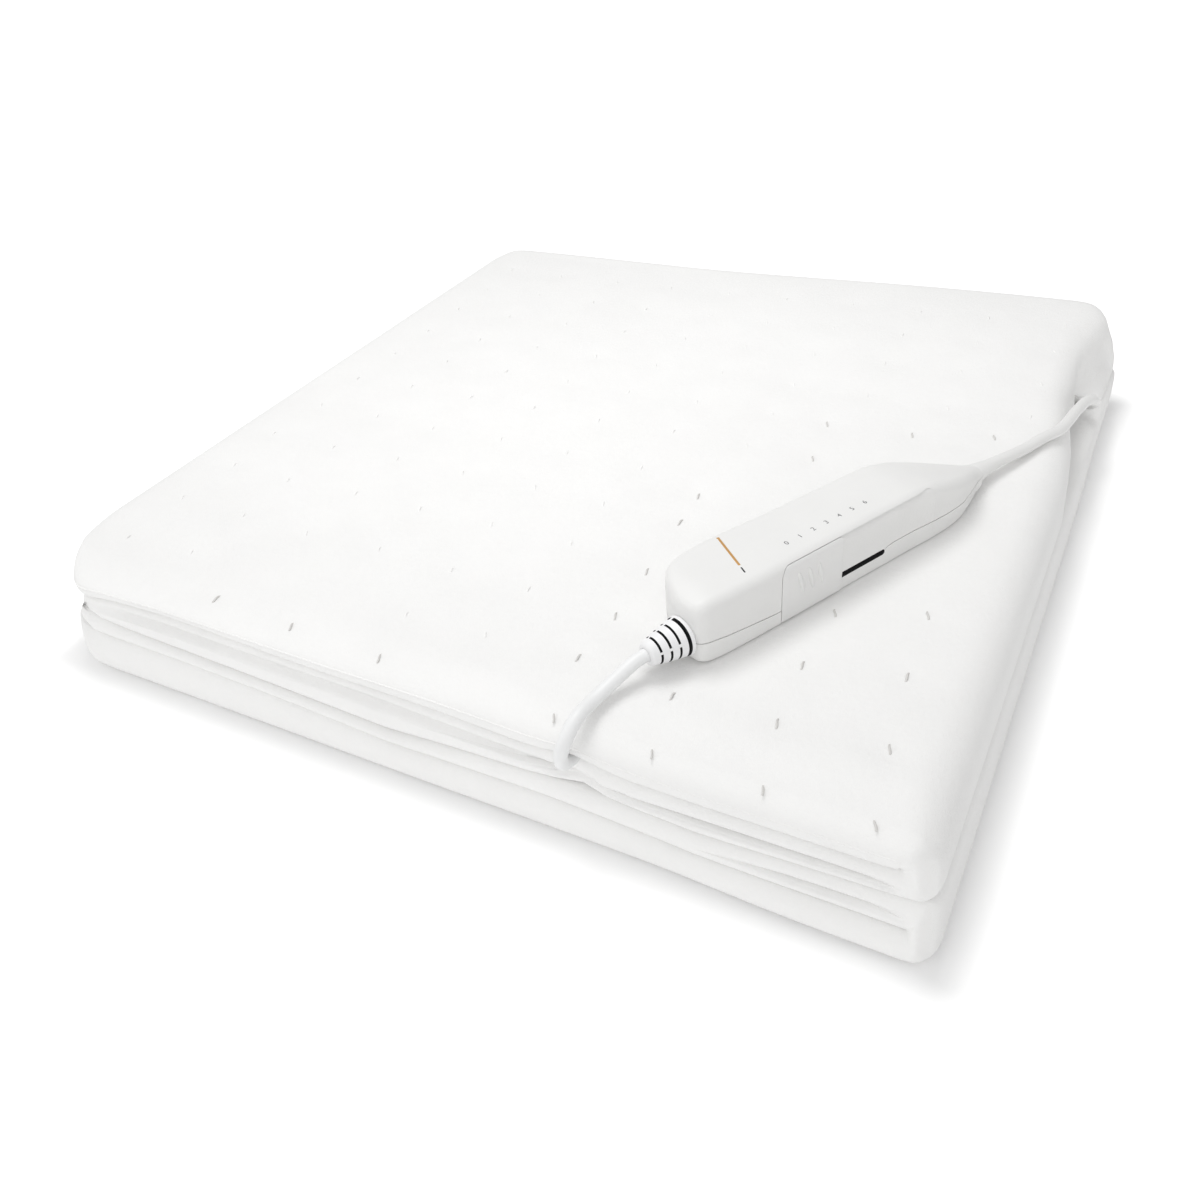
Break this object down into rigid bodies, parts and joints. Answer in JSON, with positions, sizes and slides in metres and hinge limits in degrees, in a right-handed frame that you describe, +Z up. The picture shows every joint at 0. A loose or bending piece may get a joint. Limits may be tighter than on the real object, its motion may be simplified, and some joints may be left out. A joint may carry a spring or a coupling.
{
  "type": "electric underblanket",
  "caption": "Quilted electric underblanket folded into a square pad, with a slide-switch controller lying on top, a lead into the folds and a mains cord that runs through them to a plug.",
  "frame": {"origin": "under the middle of the folded pad, on the surface that it lies on, the free cords and the plug not counted", "axes": "+Z up; the long fold of the blanket is the front, at -Y, and its hemmed edges are at the back, at +Y; +X runs to the right along the fold"},
  "size_m": [0.4027, 0.5178, 0.0823],
  "materials": {
    "face_cloth": "brushed cotton, quilted and tufted",
    "backing_cloth": "needle felt",
    "wire_sheath": "satin",
    "case_shell": "satin",
    "slider_cap": "satin",
    "cord_sheath": "satin",
    "soft_boot": "satin",
    "dark_moulding": "matte",
    "copper": "bright",
    "steel": "plated",
    "board": "satin",
    "resistor": "matte",
    "amber": "gloss",
    "carbon": "matte"
  },
  "bodies": {
    "underblanket": {"face_cloth": "face_cloth", "backing_cloth": "backing_cloth", "heating_wire": "wire_sheath", "upper_case": "case_shell", "lower_case": "case_shell", "case_screw_1": "steel", "case_screw_2": "steel", "case_screw_3": "steel", "mains_cord_clamp": "dark_moulding", "mains_clamp_screw_1": "steel", "mains_clamp_screw_2": "steel", "lead_cord_clamp": "dark_moulding", "lead_clamp_screw_1": "steel", "lead_clamp_screw_2": "steel", "detent_rail": "dark_moulding", "slide_track": "copper", "circuit_board": "board", "power_resistor": "resistor", "film_capacitor": "amber", "triac": "carbon", "thermal_fuse": "steel", "led": "amber", "indicator_lens": "amber", "mains_terminal": "dark_moulding", "lead_terminal": "dark_moulding", "mains_strain_relief": "soft_boot", "lead_strain_relief": "soft_boot", "terminal_base": "dark_moulding", "terminal_cover": "dark_moulding", "crimp_a": "copper", "crimp_b": "copper", "terminal_strain_relief": "soft_boot", "blanket_lead": "cord_sheath", "mains_cord": "cord_sheath", "mains_cord_tail": "cord_sheath", "mains_cord_coil": "cord_sheath", "cord_tie": "dark_moulding", "plug_body": "cord_sheath", "plug_pin_a": "steel", "plug_pin_b": "steel", "plug_strain_relief": "soft_boot"},
    "level_slider": {"slider_cap": "slider_cap", "slider_carriage": "dark_moulding", "wiper_contact": "copper", "detent_spring": "steel"}
  },
  "joints": [
    {"name": "level_slide", "type": "slide", "parent": "underblanket", "child": "level_slider", "axis": [0.4446, 0.8957, 0], "range_m": [0, 0.041]}
  ]
}
